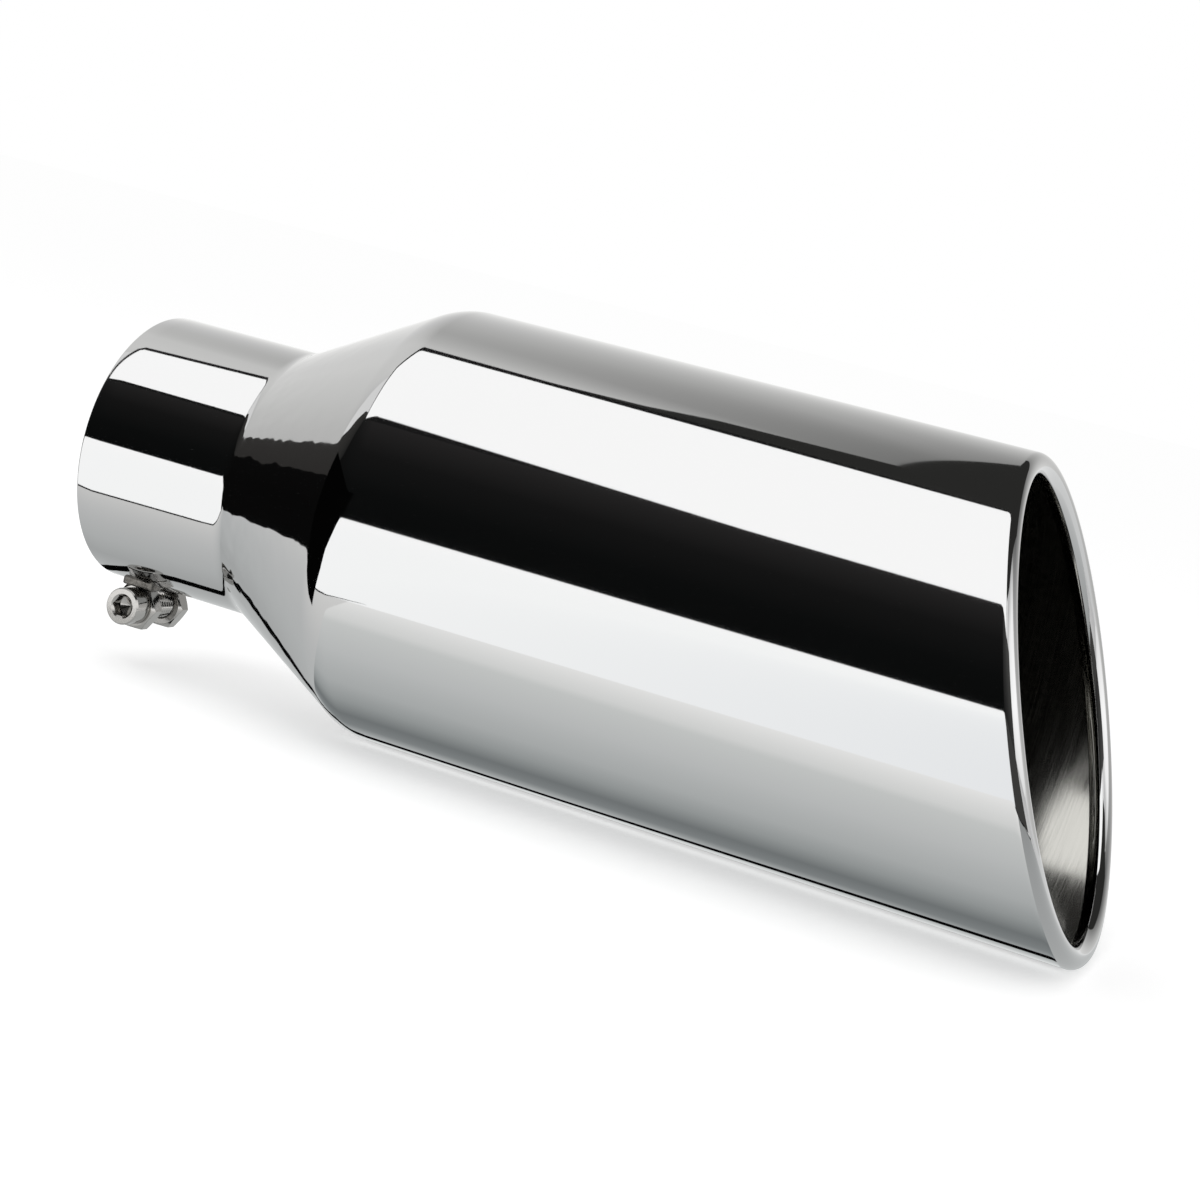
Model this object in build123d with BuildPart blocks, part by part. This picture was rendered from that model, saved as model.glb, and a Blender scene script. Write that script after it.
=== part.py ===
"""Slant-cut exhaust tip with a clamp-on inlet sleeve, in millimetres.

The tip lies on its barrel. +X runs along the tube from the inlet to the outlet, +Z is up,
and the origin is the centre of the inlet's end face. The outlet is cut slantwise, with its
short side on top, and its edge is rolled inward. The sleeve is slit at the bottom, and a
socket head screw through two welded nuts pulls the slit together round the exhaust pipe.
"""

from build123d import *
from math import atan, cos, degrees, radians, sin, sqrt, tan
import os

# The exhaust pipe that the sleeve slides over
pipe_diameter = 76.2
slip_clearance = 0.3

# The polished shell
sheet_thickness = 1.4
overall_length = 305.0
sleeve_length = 48.0
cone_length = 44.5
barrel_diameter = 127.0
neck_bend_radius = 7.0
shoulder_bend_radius = 18.0
inlet_edge_radius = 0.5

# The slant-cut outlet and its rolled lip
slant_angle = 20.0
lip_roll_diameter = 6.4
lip_land = 0.2
lip_seam_gap = 1.2

# The slit that the clamp closes
slit_width = 4.0
slit_length = 36.0

# The clamp screw and its two welded nuts
screw_from_inlet = 10.0
thread_diameter = 8.0
thread_end_chamfer = 0.8
screw_length = 20.0
screw_head_diameter = 11.0
screw_head_height = 6.6
screw_head_edge_chamfer = 0.4
socket_width = 6.0
socket_depth = 3.8
socket_lead_in = 0.25
socket_drill_diameter = 5.8
socket_point_angle = 120.0
nut_width = 13.0
nut_thickness = 4.6
nut_face_diameter = 12.2
nut_corner_angle = 30.0
nut_hole_chamfer = 0.5
nut_spacing = 10.4
plain_hole_clearance = 0.4

# The weld beads that hold the nuts
weld_root_gap = 0.1
weld_leg = 1.1
weld_corner_radius = 1.4
weld_head_clearance = 0.2
weld_rounding = 0.6

# Worked out from the sizes above
bore_radius = pipe_diameter / 2 + slip_clearance
sleeve_radius = bore_radius + sheet_thickness
barrel_radius = barrel_diameter / 2
barrel_bore_radius = barrel_radius - sheet_thickness
cone_end = sleeve_length + cone_length
cone_angle = degrees(atan((barrel_radius - sleeve_radius) / cone_length))
bend_shift = sheet_thickness * tan(radians(cone_angle / 2))

roll_radius = lip_roll_diameter / 2
roll_path_radius = barrel_radius - roll_radius
lip_opening_radius = barrel_radius - lip_roll_diameter
uncut_length = overall_length + lip_roll_diameter
slant = radians(slant_angle)
lip_edge_radius = roll_radius - lip_land / 2
lip_edge_rise = (barrel_radius - lip_edge_radius) * tan(slant)
slant_centre = overall_length - lip_edge_radius + lip_edge_radius / cos(slant) - lip_edge_rise
roll_centre = slant_centre - roll_radius / cos(slant)
seam_radius = barrel_bore_radius - lip_seam_gap / 2
seam_slant = atan(tan(slant) * roll_path_radius / seam_radius)

nut_inner_face = nut_spacing / 2
nut_outer_face = nut_inner_face + nut_thickness
nut_top = -sqrt(sleeve_radius**2 - nut_inner_face**2) - weld_root_gap
screw_height = nut_top - nut_width / 2
nut_side_length = nut_width / sqrt(3)
nut_side_lean = radians(180 / 6)
head_radius = screw_head_diameter / 2
weld_depth = min(weld_leg, nut_width / 2 - head_radius - weld_head_clearance)
thread_radius = thread_diameter / 2
socket_opening_radius = socket_width / sqrt(3) + socket_lead_in
socket_drill_radius = socket_drill_diameter / 2


def slant_plane(along, tilt):
    """The plane through that place on the tube's axis, tilted back towards its top."""
    return Plane(origin=(along, 0, 0), x_dir=(0, 1, 0), z_dir=(cos(tilt), 0, sin(tilt)))


def across(side, distance):
    """The plane across the screw's axis at that distance from the slit.

    side is -1 for the screw head's side and +1 for the thread's end; the plane faces
    away from the slit.
    """
    origin = (screw_from_inlet, side * distance, screw_height)
    return Plane(origin=origin, x_dir=(1, 0, 0), z_dir=(0, side, 0))


screw_axis = Axis((screw_from_inlet, 0, screw_height), (0, 1, 0))
lip_front = slant_plane(slant_centre, slant)
lip_middle = slant_plane(roll_centre, slant)
lip_back = slant_plane(2 * roll_centre - slant_centre, slant)
seam_front = slant_plane(roll_centre - lip_seam_gap / 2, seam_slant)
seam_back = slant_plane(2 * roll_centre - slant_centre - lip_roll_diameter, slant)


def edges_on(plane, edges):
    """Those of the edges whose middle lies on the plane."""
    return edges.filter_by(lambda edge: abs(plane.to_local_coords(edge.center()).Z) < lip_land)


def corner_at(profile, along, radius):
    """The profile's corner nearest to that place along the tube and that radius."""
    return profile.vertices().sort_by_distance((along, radius))[0]


# The thick ring that becomes the rolled lip
with BuildPart() as lip_ring:
    with BuildSketch(Plane.YZ):
        Circle(barrel_radius - sheet_thickness / 2)
        Circle(lip_opening_radius, mode=Mode.SUBTRACT)
    extrude(amount=uncut_length)
    split(bisect_by=lip_front, keep=Keep.BOTTOM)
    split(bisect_by=lip_back, keep=Keep.TOP)

# The hollow inside the rolled lip, one half swept round the outlet and mirrored
with BuildPart() as lip_hollow:
    with BuildLine(lip_middle) as roll_path:
        long_radius = roll_path_radius / cos(slant)
        EllipticalCenterArc((0, 0), roll_path_radius, long_radius, start_angle=90, arc_size=180)
    with BuildSketch(Plane(roll_path.line @ 0, x_dir=lip_middle.z_dir, z_dir=roll_path.line % 0)):
        Circle(roll_radius - sheet_thickness)
    sweep(path=roll_path.line)
    mirror(about=Plane.XZ)

# The open seam between the lip's free edge and the barrel's wall
with BuildPart() as lip_seam:
    with BuildSketch(Plane.YZ):
        Circle(barrel_bore_radius)
        Circle(barrel_bore_radius - lip_seam_gap, mode=Mode.SUBTRACT)
    extrude(amount=uncut_length)
    split(bisect_by=seam_front, keep=Keep.BOTTOM)
    split(bisect_by=seam_back, keep=Keep.TOP)

# Tip shell: the sleeve, cone and barrel as one revolved sheet profile
with BuildPart() as tip_shell:
    with BuildSketch(Plane.XZ) as sheet_profile:
        with BuildLine():
            Polyline(
                (0, bore_radius),
                (0, sleeve_radius),
                (sleeve_length, sleeve_radius),
                (cone_end, barrel_radius),
                (uncut_length, barrel_radius),
                (uncut_length, barrel_bore_radius),
                (cone_end + bend_shift, barrel_bore_radius),
                (sleeve_length + bend_shift, bore_radius),
                close=True,
            )
        make_face()
        fillet(corner_at(sheet_profile, 0, sleeve_radius), inlet_edge_radius)
        fillet(corner_at(sheet_profile, sleeve_length, sleeve_radius), neck_bend_radius)
        neck_inside = corner_at(sheet_profile, sleeve_length + bend_shift, bore_radius)
        fillet(neck_inside, neck_bend_radius + sheet_thickness)
        fillet(corner_at(sheet_profile, cone_end, barrel_radius), shoulder_bend_radius)
        shoulder_inside = corner_at(sheet_profile, cone_end + bend_shift, barrel_bore_radius)
        fillet(shoulder_inside, shoulder_bend_radius - sheet_thickness)
    revolve(axis=Axis.X)
    split(bisect_by=lip_front, keep=Keep.BOTTOM)

    # The barrel's edge is rolled inward into a hollow curl that stays open along its back
    add(lip_ring.part)
    lip_edges = tip_shell.edges().filter_by(GeomType.ELLIPSE)
    back_inner_edge = edges_on(lip_back, lip_edges).sort_by(Edge.length)[0]
    fillet(edges_on(lip_front, lip_edges) + [back_inner_edge], lip_edge_radius)
    add(lip_hollow.part, mode=Mode.SUBTRACT)
    add(lip_seam.part, mode=Mode.SUBTRACT)

    # The slit that the clamp screw closes
    with BuildSketch(Plane.XY.offset(-sleeve_radius - sheet_thickness)):
        with Locations((slit_length / 2 - slit_width / 2, 0)):
            SlotOverall(slit_length + slit_width, slit_width)
    extrude(amount=sleeve_radius, mode=Mode.SUBTRACT)

tip_shell.part.label = "tip_shell"


def clamp_nut(side, hole_radius):
    """One hexagon nut, flat side up, with the corners of both faces turned off."""
    turned_face_radius = nut_face_diameter / 2
    turned_depth = nut_thickness / 2
    turned_edge_radius = turned_face_radius + turned_depth / tan(radians(nut_corner_angle))
    with BuildPart() as nut:
        with BuildSketch(across(side, nut_inner_face)):
            RegularPolygon(nut_width / 2, 6, major_radius=False)
        extrude(amount=nut_thickness)
        with BuildSketch(Plane(origin=(screw_from_inlet, 0, screw_height))):
            with BuildLine():
                Polyline(
                    (0, side * nut_inner_face),
                    (turned_face_radius, side * nut_inner_face),
                    (turned_edge_radius, side * (nut_inner_face + turned_depth)),
                    (turned_face_radius, side * nut_outer_face),
                    (0, side * nut_outer_face),
                    close=True,
                )
            make_face()
        revolve(axis=screw_axis, mode=Mode.INTERSECT)
        with BuildSketch(across(side, nut_inner_face)):
            Circle(hole_radius)
        extrude(amount=nut_thickness, mode=Mode.SUBTRACT)
        round_edges = nut.edges().filter_by(GeomType.CIRCLE)
        hole_edges = round_edges.filter_by(lambda edge: edge.radius < hole_radius + nut_hole_chamfer)
        chamfer(hole_edges, nut_hole_chamfer)
    return nut.part


# The nut at the screw's head lets the screw pass; the other one is tapped
with BuildPart() as head_side_nut:
    add(clamp_nut(-1, thread_radius + plain_hole_clearance / 2))
head_side_nut.part.label = "head_side_nut"

with BuildPart() as tapped_nut:
    add(clamp_nut(1, thread_radius))
tapped_nut.part.label = "tapped_nut"

# Clamp screw: a socket head cap screw across the slit
with BuildPart() as clamp_screw:
    head_seat = across(-1, nut_outer_face)
    with BuildSketch(head_seat):
        Circle(head_radius)
    extrude(amount=screw_head_height)
    head_rim = clamp_screw.edges().sort_by(Axis.Y)[0]
    chamfer(head_rim, screw_head_edge_chamfer)
    with BuildSketch(head_seat.offset(screw_head_height)):
        RegularPolygon(socket_width / 2, 6, major_radius=False)
    extrude(amount=-socket_depth, mode=Mode.SUBTRACT)

    # The socket was drilled before it was broached, and its mouth is countersunk
    with BuildSketch(Plane(origin=(screw_from_inlet, 0, screw_height))):
        with BuildLine():
            mouth = -nut_outer_face - screw_head_height
            floor = mouth + socket_depth
            Polyline(
                (0, mouth),
                (socket_opening_radius, mouth),
                (socket_drill_radius, mouth + socket_opening_radius - socket_drill_radius),
                (socket_drill_radius, floor),
                (0, floor + socket_drill_radius / tan(radians(socket_point_angle / 2))),
                close=True,
            )
        make_face()
    revolve(axis=screw_axis, mode=Mode.SUBTRACT)

    with BuildSketch(head_seat):
        Circle(thread_radius)
    extrude(amount=-screw_length)
    thread_end = clamp_screw.edges().sort_by(Axis.Y)[-1]
    chamfer(thread_end, thread_end_chamfer)
clamp_screw.part.label = "clamp_screw"


def weld_bead(side, nut):
    """The bead between the sleeve and one nut's upper flat, hugging the nut's root."""
    bead_length = nut_side_length + 2 * (weld_leg + weld_depth * tan(nut_side_lean))
    bead_inner_face = nut_inner_face - weld_leg / 2
    bead_outer_face = nut_outer_face + weld_leg
    bead_middle = side * (bead_inner_face + bead_outer_face) / 2
    bead_top = -sqrt(sleeve_radius**2 - bead_outer_face**2) + weld_leg
    bead_bottom = nut_top - weld_depth
    with BuildPart() as bead:
        with BuildSketch(Plane(origin=(screw_from_inlet, bead_middle, bead_top))):
            RectangleRounded(bead_length, bead_outer_face - bead_inner_face, weld_corner_radius)
        extrude(amount=bead_bottom - bead_top)
        lower_edges = bead.edges().group_by(Axis.Z)[0]
        fillet(lower_edges, weld_depth * weld_rounding)
        with BuildSketch(Plane.YZ):
            Circle(sleeve_radius)
        extrude(amount=sleeve_length, mode=Mode.SUBTRACT)
        add(nut, mode=Mode.SUBTRACT)
    return bead.part


# The weld beads that hold the nuts on either side of the slit
with BuildPart() as head_side_weld:
    add(weld_bead(-1, head_side_nut.part))
head_side_weld.part.label = "head_side_weld"

with BuildPart() as tapped_weld:
    add(weld_bead(1, tapped_nut.part))
tapped_weld.part.label = "tapped_weld"

os.makedirs("parts", exist_ok=True)
export_step(tip_shell.part, "parts/tip_shell.step")
export_step(head_side_nut.part, "parts/head_side_nut.step")
export_step(tapped_nut.part, "parts/tapped_nut.step")
export_step(head_side_weld.part, "parts/head_side_weld.step")
export_step(tapped_weld.part, "parts/tapped_weld.step")
export_step(clamp_screw.part, "parts/clamp_screw.step")
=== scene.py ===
"""The looks of a slant-cut exhaust tip: a mirror-polished stainless shell with a rolled lip,
a slit sleeve, and a socket head screw in two welded nuts, in a white studio.

The row's frame is kept: metres, +X from the inlet to the outlet, +Z up. Sizes inside the
shape functions are millimetres, and one function turns a finished grid into metres.
"""

from math import atan, cos, pi, radians, sin, sqrt, tan

import bmesh
import bpy
import numpy as np
from bpy.props import FloatProperty, FloatVectorProperty, IntProperty, PointerProperty
from mathutils import Matrix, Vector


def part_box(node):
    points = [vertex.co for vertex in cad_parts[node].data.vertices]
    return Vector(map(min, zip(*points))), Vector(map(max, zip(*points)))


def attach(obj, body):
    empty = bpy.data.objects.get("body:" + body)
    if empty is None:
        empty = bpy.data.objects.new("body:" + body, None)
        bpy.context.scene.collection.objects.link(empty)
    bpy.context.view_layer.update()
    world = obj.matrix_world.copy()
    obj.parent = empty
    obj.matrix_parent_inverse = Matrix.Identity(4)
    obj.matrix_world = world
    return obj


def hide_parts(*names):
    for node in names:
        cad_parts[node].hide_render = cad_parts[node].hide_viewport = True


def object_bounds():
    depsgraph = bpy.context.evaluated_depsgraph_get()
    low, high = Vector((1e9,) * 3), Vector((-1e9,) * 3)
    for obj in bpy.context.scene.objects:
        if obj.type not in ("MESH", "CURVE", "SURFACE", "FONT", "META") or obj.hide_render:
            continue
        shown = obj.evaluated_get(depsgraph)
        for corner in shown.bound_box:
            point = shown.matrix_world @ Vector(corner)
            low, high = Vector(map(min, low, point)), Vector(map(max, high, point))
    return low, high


bl_info = {
    "name": "Slant-cut exhaust tip",
    "version": (1, 0, 0),
    "blender": (4, 5, 0),
    "location": "3D View > Sidebar > Exhaust tip",
    "description": "Builds the polished shell, the clamp screw, its nuts and welds, and the studio",
    "category": "Object",
}

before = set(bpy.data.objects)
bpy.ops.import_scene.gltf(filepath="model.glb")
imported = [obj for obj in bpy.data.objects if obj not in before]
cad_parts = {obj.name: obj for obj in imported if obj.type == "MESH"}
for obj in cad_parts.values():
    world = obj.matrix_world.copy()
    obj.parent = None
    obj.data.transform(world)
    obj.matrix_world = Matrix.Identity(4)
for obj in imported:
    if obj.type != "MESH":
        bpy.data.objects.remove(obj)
cad_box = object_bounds()
shell_low, shell_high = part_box("tip_shell")
screw_low, screw_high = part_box("clamp_screw")
near_nut_low, near_nut_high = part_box("head_side_nut")
far_nut_low, far_nut_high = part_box("tapped_nut")

MM = 0.001

# A step too small to see, in millimetres: nearer points are one, and a limit is met within it
HAIR = 0.001


def length_property(name, description, millimetres):
    """A length that a user can change, shown in the scene's units."""
    return FloatProperty(
        name=name,
        description=description,
        default=millimetres * MM,
        min=0.0,
        precision=4,
        unit="LENGTH",
    )


def angle_property(name, description, degrees):
    """An angle that a user can change, shown in degrees."""
    return FloatProperty(name=name, description=description, default=radians(degrees), subtype="ANGLE")


def linear(colour):
    """The linear red, green and blue of an sRGB hex value such as #cdcdcb."""
    parts = np.array([int(colour[at:at + 2], 16) for at in (1, 3, 5)]) / 255
    return tuple(np.where(parts <= 0.04045, parts / 12.92, ((parts + 0.055) / 1.055) ** 2.4))


def colour_property(name, description, colour):
    """A colour that a user can change, from its sRGB hex value."""
    return FloatVectorProperty(
        name=name,
        description=description,
        default=linear(colour),
        min=0.0,
        max=1.0,
        subtype="COLOR",
    )


class ShellSizes(bpy.types.PropertyGroup):
    """The polished sheet's sizes."""

    length: length_property("Length", "From the inlet to the lip's foremost point", shell_high.x / MM)
    barrel_diameter: length_property("Barrel", "Outside diameter of the barrel", 2 * shell_high.y / MM)
    sleeve_diameter: length_property("Sleeve", "Outside diameter of the inlet sleeve", 79.6)
    sheet: length_property("Sheet", "Thickness of the stainless sheet", 1.4)
    sleeve_length: length_property("Sleeve length", "From the inlet to the cone", 48.0)
    cone_length: length_property("Cone length", "From the sleeve to the barrel", 44.5)
    neck_bend: length_property("Neck bend", "Outer bend radius from the sleeve to the cone", 7.0)
    shoulder_bend: length_property("Shoulder bend", "Outer bend radius from the cone to the barrel", 18.0)
    inlet_edge: length_property("Inlet edge", "Rounding of the inlet's outer edge", 0.5)
    roll_diameter: length_property("Lip roll", "Outside diameter of the rolled lip", 6.4)
    slit_width: length_property("Slit width", "Width of the clamp slit", 4.0)
    slit_length: length_property("Slit length", "From the inlet to the slit's round end", 36.0)
    slant: angle_property("Slant", "How far the outlet leans back towards its top", 20.0)
    curl_turn: angle_property("Curl", "How far the sheet is rolled round to its free edge", 279.0)
    columns: IntProperty(name="Columns", description="Mesh columns round the tube", default=320, min=48)


class ClampSizes(bpy.types.PropertyGroup):
    """The clamp screw's and nuts' sizes."""

    head_diameter: length_property("Head diameter", "Diameter of the screw's head", 11.0)
    head_height: length_property("Head height", "Height of the screw's head", 6.6)
    head_edge: length_property("Head edge", "Chamfer of the head's front edge", 0.4)
    socket_width: length_property("Socket width", "Across the flats of the hex socket", 6.0)
    socket_depth: length_property("Socket depth", "Depth of the hex socket's flats", 3.8)
    socket_lead: length_property("Socket lead-in", "Countersink round the socket's corners", 0.25)
    thread_diameter: length_property("Thread diameter", "Outer diameter of the thread", 8.0)
    thread_pitch: length_property("Thread pitch", "Distance between two thread ridges", 1.25)
    nut_width: length_property("Nut width", "Across the flats of each nut", 13.0)
    nut_face: length_property("Nut face", "Diameter of the flat ring on each nut's faces", 12.2)
    nut_hole: length_property("Nut hole", "Diameter of the clearance hole", 8.4)
    nut_chamfer: length_property("Nut chamfer", "Chamfer of the nuts' holes", 0.5)
    edge_break: length_property("Edge break", "Width of the broken edges of nuts and screw", 0.12)


class Finishes(bpy.types.PropertyGroup):
    """The colours of the surfaces."""

    polished: colour_property("Polished steel", "Mirror-polished stainless steel", "#cdcdcd")
    satin: colour_property("Satin steel", "Brushed stainless steel inside the tube", "#b4b3ae")
    fastener: colour_property("Fastener steel", "Machined stainless steel of screw and nuts", "#b8b6b3")
    weld: colour_property("Weld metal", "Weld metal with a thin brown oxide", "#908d88")
    oxide: colour_property("Weld oxide", "Heat tint in the weld's hollows", "#2e2a27")
    floor: colour_property("Floor", "The studio's white floor", "#f2f2f2")


class Studio(bpy.types.PropertyGroup):
    """The camera, the floor and the light of the studio."""

    focal: FloatProperty(name="Focal length", description="Of the camera, in mm", default=71.66)
    azimuth: angle_property("Azimuth", "Camera's heading, from +Y towards -X", 20.23)
    elevation: angle_property("Elevation", "How far the camera looks down", 7.16)
    roll: angle_property("Roll", "How far the camera is turned about its line of sight", 13.75)
    stand: FloatVectorProperty(
        name="Stand",
        description="Where the camera stands",
        default=(0.37863, -0.62140, 0.07688),
        subtype="TRANSLATION",
        unit="LENGTH",
    )
    floor_size: length_property("Floor size", "Side of the floor", 60000.0)
    screen_distance: length_property("Screen distance", "From the object to the screens round it", 8000.0)
    ceiling_height: length_property("Ceiling height", "From the tube's axis up to the softbox", 1000.0)
    softbox_level: FloatProperty(
        name="Softbox level",
        description="Brightness of the softbox, where 1 is white",
        default=1.5,
    )
    fill_level: FloatProperty(
        name="Fill level",
        description="Brightness of the room's soft light, where 1 is white",
        default=0.55,
    )


def add_node(tree, kind, settings=None, **links):
    """Adds a node, sets its attributes and its inputs, and links the inputs that come from nodes.

    An input is named by its label in lower case with _ for a space; a value is set on the
    socket, and an output socket is linked to it.
    """
    node = tree.nodes.new(kind)
    for attribute, value in (settings or {}).items():
        setattr(node, attribute, value)
    for label, value in links.items():
        wanted = label.rstrip("0123456789").replace("_", " ").strip()
        sockets = [socket for socket in node.inputs if socket.name.lower() == wanted and socket.enabled]
        number = label[len(label.rstrip("0123456789")):]
        socket = sockets[int(number) if number else 0]
        if isinstance(value, bpy.types.NodeSocket):
            tree.links.new(value, socket)
        else:
            socket.default_value = value
    return node


def new_material(name):
    """An empty node material and its output node."""
    material = bpy.data.materials.new(name)
    material.use_nodes = True
    material.node_tree.nodes.clear()
    output = material.node_tree.nodes.new("ShaderNodeOutputMaterial")
    return material, material.node_tree, output


def set_stops(ramp, stops):
    """Gives a colour ramp its stops: pairs of a position and a level or an sRGB hex value."""
    elements = ramp.color_ramp.elements
    for number, (position, tone) in enumerate(stops):
        stop = elements[number] if number < len(elements) else elements.new(position)
        stop.position = position
        stop.color = (*(linear(tone) if isinstance(tone, str) else (tone, tone, tone)), 1.0)


def uneven(tree, noise, low, high):
    """A value that wanders from low to high with a noise, whose own range is about 0.3 to 0.7."""
    spread = add_node(tree, "ShaderNodeMapRange", value=noise.outputs[0], from_min=0.3, from_max=0.7)
    spread.inputs["To Min"].default_value = low
    spread.inputs["To Max"].default_value = high
    return spread.outputs[0]


def end_in_metal(tree, output, **settings):
    """Ends a material in the shader of a bare metal."""
    shader = add_node(tree, "ShaderNodeBsdfPrincipled", metallic=1.0, **settings)
    tree.links.new(shader.outputs[0], output.inputs["Surface"])


def polished_stainless(colour):
    """Mirror-polished stainless sheet: reflections are crisp, and a little wavy where it was formed.

    A slow waviness bends the long reflections slightly. Where the press drew the neck, short
    ripples stay in the sheet and break the edges of the reflections, and they fade over the cone.
    """
    wave_width, wave_height = 45 * MM, 0.012 * MM
    ripple_width, ripple_height = 6.5 * MM, 0.17 * MM
    # The ripples' strength from just before the neck to just past the shoulder
    formed_start, formed_end = 40 * MM, 100 * MM
    strengths = ((0.10, 0.0), (0.16, 0.7), (0.24, 1.0), (0.36, 0.6), (0.60, 0.4), (0.82, 0.2), (1.0, 0.0))

    material, tree, output = new_material("mirror_polished_stainless")
    place = add_node(tree, "ShaderNodeTexCoord").outputs["Object"]
    slow = add_node(tree, "ShaderNodeTexNoise", vector=place, scale=1 / wave_width, detail=1.0)
    short = add_node(tree, "ShaderNodeTexNoise", vector=place, scale=1 / ripple_width, detail=1.0)
    along = add_node(tree, "ShaderNodeSeparateXYZ", vector=place).outputs["X"]
    share = add_node(tree, "ShaderNodeMapRange", value=along, from_min=formed_start, from_max=formed_end)
    formed = add_node(tree, "ShaderNodeValToRGB", fac=share.outputs[0])
    set_stops(formed, strengths)
    height = add_node(
        tree, "ShaderNodeMath", {"operation": "MULTIPLY"}, value=short.outputs[0], value1=formed.outputs[0]
    )
    wave = add_node(tree, "ShaderNodeBump", strength=1.0, distance=wave_height, height=slow.outputs[0])
    ripple = add_node(
        tree,
        "ShaderNodeBump",
        strength=1.0,
        distance=ripple_height,
        height=height.outputs[0],
        normal=wave.outputs[0],
    )
    end_in_metal(tree, output, base_color=(*colour, 1.0), roughness=0.04, normal=ripple.outputs[0])
    return material


def satin_stainless(colour):
    """Brushed stainless inside the tube: reflections are half blurred, with fine lines round the tube."""
    line_width, line_height = 0.5 * MM, 0.005 * MM
    # The lines run round the tube: the grain is drawn out about thirty times across its axis
    draw = (1.0, 0.03, 0.03)

    material, tree, output = new_material("brushed_satin_stainless")
    place = add_node(tree, "ShaderNodeTexCoord").outputs["Object"]
    drawn_out = add_node(tree, "ShaderNodeMapping", vector=place, scale=draw).outputs[0]
    lines = add_node(tree, "ShaderNodeTexNoise", vector=drawn_out, scale=1 / line_width, detail=4.0)
    grain = add_node(tree, "ShaderNodeBump", strength=0.5, distance=line_height, height=lines.outputs[0])
    round_tube = add_node(tree, "ShaderNodeTangent", {"direction_type": "RADIAL", "axis": "X"})
    end_in_metal(
        tree,
        output,
        base_color=(*colour, 1.0),
        roughness=uneven(tree, lines, 0.12, 0.20),
        anisotropic=0.8,
        tangent=round_tube.outputs[0],
        normal=grain.outputs[0],
    )
    return material


def machined_stainless(colour):
    """Turned and tumbled stainless of the screw and nuts: bright, with a slightly blurred reflection."""
    mark_width, mark_depth = 0.8 * MM, 0.02 * MM

    material, tree, output = new_material("machined_stainless")
    place = add_node(tree, "ShaderNodeTexCoord").outputs["Object"]
    marks = add_node(tree, "ShaderNodeTexNoise", vector=place, scale=1 / mark_width, detail=4.0)
    dents = add_node(tree, "ShaderNodeBump", strength=0.25, distance=mark_depth, height=marks.outputs[0])
    blur = uneven(tree, marks, 0.08, 0.18)
    end_in_metal(tree, output, base_color=(*colour, 1.0), roughness=blur, normal=dents.outputs[0])
    return material


def fastener_finish(context):
    """The finish that the nuts and the screw share, made by whichever is built first."""
    ready = bpy.data.materials.get("machined_stainless")
    return ready or machined_stainless(context.scene.exhaust_tip_finishes.fastener)


def weld_metal(colour, oxide):
    """Weld beads: dull metal with a brown heat tint in the hollows and brighter ridges."""
    lump_width, lump_height = 1.1 * MM, 0.15 * MM

    material, tree, output = new_material("oxidised_weld_metal")
    place = add_node(tree, "ShaderNodeTexCoord").outputs["Object"]
    lumps = add_node(tree, "ShaderNodeTexNoise", vector=place, scale=1 / lump_width, detail=4.0)
    tint = add_node(
        tree,
        "ShaderNodeMix",
        {"data_type": "RGBA"},
        factor=lumps.outputs[0],
        a=(*oxide, 1.0),
        b=(*colour, 1.0),
    )
    mixed = next(socket for socket in tint.outputs if socket.enabled)
    rough = add_node(tree, "ShaderNodeBump", strength=0.6, distance=lump_height, height=lumps.outputs[0])
    end_in_metal(tree, output, base_color=mixed, roughness=0.24, normal=rough.outputs[0])
    return material


def grid_index(points):
    """The vertex numbers of a grid of points, row by row."""
    rows, columns = points.shape[:2]
    return np.arange(rows * columns).reshape(rows, columns)


def grid_quads(index, close_rows=False, close_columns=False):
    """The quads of a grid of vertex numbers, as rows of four numbers."""
    if close_rows:
        index = np.vstack([index, index[:1]])
    if close_columns:
        index = np.hstack([index, index[:, :1]])
    corners = (index[:-1, :-1], index[1:, :-1], index[1:, 1:], index[:-1, 1:])
    return np.stack([corner.ravel() for corner in corners], axis=1)


def make_piece(name, points, quads, finishes, finish_of_quad=None, sharp=radians(32), edge_break=0.0):
    """A mesh object from points in millimetres, with doubles merged and faces turned outward."""
    mesh = bpy.data.meshes.new(name)
    faces = [list(dict.fromkeys(face)) for face in quads]
    mesh.from_pydata((np.asarray(points) * MM).tolist(), [], faces)
    for finish in finishes:
        mesh.materials.append(finish)
    if finish_of_quad is not None:
        mesh.polygons.foreach_set("material_index", np.asarray(finish_of_quad, dtype=np.int32))
    shape = bmesh.new()
    shape.from_mesh(mesh)
    bmesh.ops.remove_doubles(shape, verts=shape.verts, dist=HAIR * MM)
    bmesh.ops.recalc_face_normals(shape, faces=shape.faces)
    shape.to_mesh(mesh)
    shape.free()
    piece = bpy.data.objects.new(name, mesh)
    bpy.context.scene.collection.objects.link(piece)
    mesh.polygons.foreach_set("use_smooth", np.ones(len(mesh.polygons), dtype=bool))
    mesh.set_sharp_from_angle(angle=sharp)
    if edge_break:
        bevel = piece.modifiers.new("edge break", "BEVEL")
        bevel.width = edge_break
        bevel.segments = 2
        bevel.limit_method = "ANGLE"
        bevel.angle_limit = sharp
        bevel.harden_normals = True
    return piece


def arc(centre, radius, start, turn, count):
    """Points and outward directions on an arc, as four arrays of place and direction."""
    angle = start + turn * np.linspace(0, 1, count)
    return (
        centre[0] + radius * np.cos(angle),
        centre[1] + radius * np.sin(angle),
        np.cos(angle),
        np.sin(angle),
    )


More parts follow.
